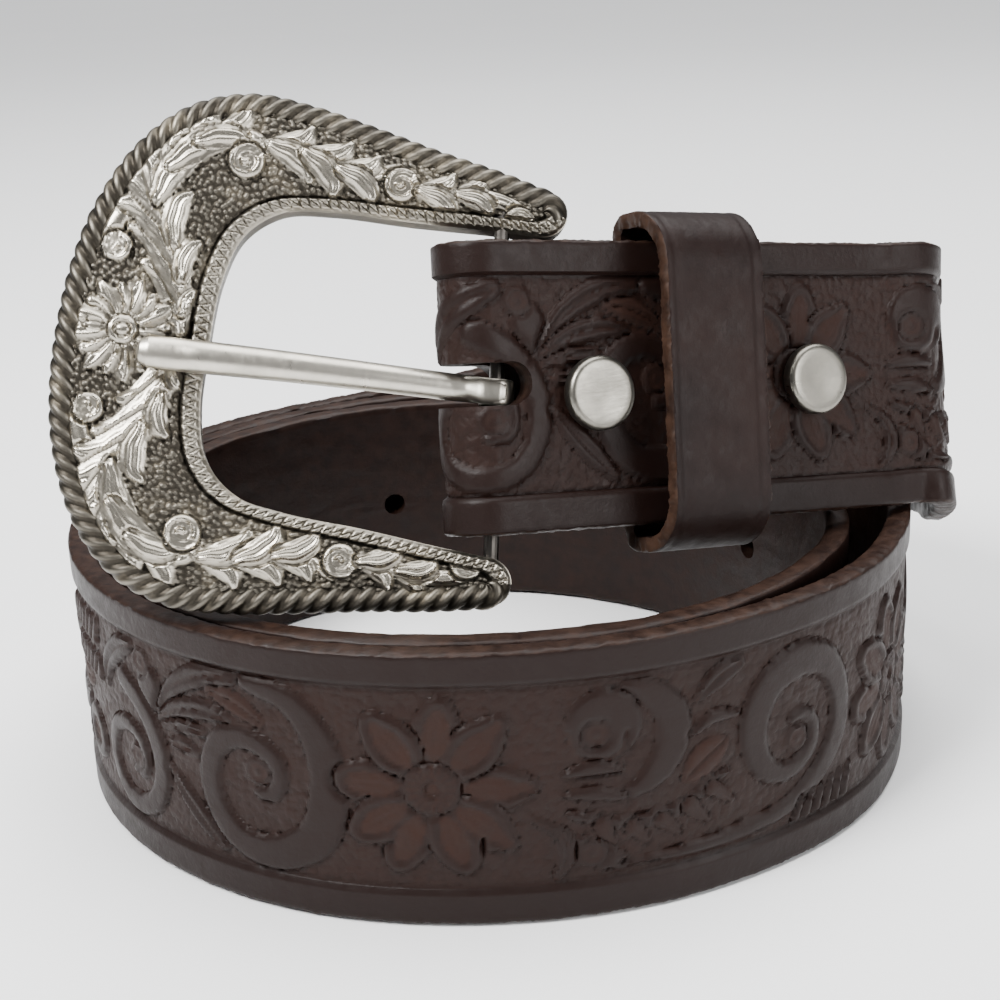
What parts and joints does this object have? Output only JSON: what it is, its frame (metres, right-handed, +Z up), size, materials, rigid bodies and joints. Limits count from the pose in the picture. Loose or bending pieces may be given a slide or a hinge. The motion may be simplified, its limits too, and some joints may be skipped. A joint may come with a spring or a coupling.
{
  "type": "western tooled belt",
  "caption": "Coiled tooled leather strap on its edge, with a raised cast C-shaped buckle, round tongue, keeper loop, snap closure and punched tip.",
  "frame": {"origin": "middle of the footprint, on the table", "axes": "+X to the viewer's right along the longest extent, +Y away from the viewer, +Z up along the strap's width in the coil"},
  "size_m": [0.1362, 0.1286, 0.1017],
  "materials": {
    "strap_leather": "dark brown tooled leather, waxed, with raw cut edges",
    "keeper_leather": "plain dark brown leather with raw cut edges",
    "antique_silver": "cast white metal, silvered and darkened in the recesses",
    "satin_nickel": "satin nickel plate"
  },
  "bodies": {
    "root": {"belt_strap": "strap_leather", "keeper_loop": "keeper_leather", "snap_cap_1": "satin_nickel", "snap_stud_1": "satin_nickel", "snap_cap_2": "satin_nickel", "snap_stud_2": "satin_nickel"},
    "buckle": {"buckle_frame": "antique_silver", "heel_bar": "satin_nickel"},
    "tongue": {"buckle_tongue": "satin_nickel"}
  },
  "joints": [
    {"name": "buckle_swing", "type": "hinge", "parent": "root", "child": "buckle", "pos_m": [-0.00247, -0.03721, 0.06293], "axis": [0.0732, 0.3867, 0.9193], "range_deg": [0, 30]},
    {"name": "tongue_swing", "type": "hinge", "parent": "buckle", "child": "tongue", "pos_m": [-0.00247, -0.03721, 0.06293], "axis": [0.0732, 0.3867, 0.9193], "range_deg": [0, 60]}
  ]
}
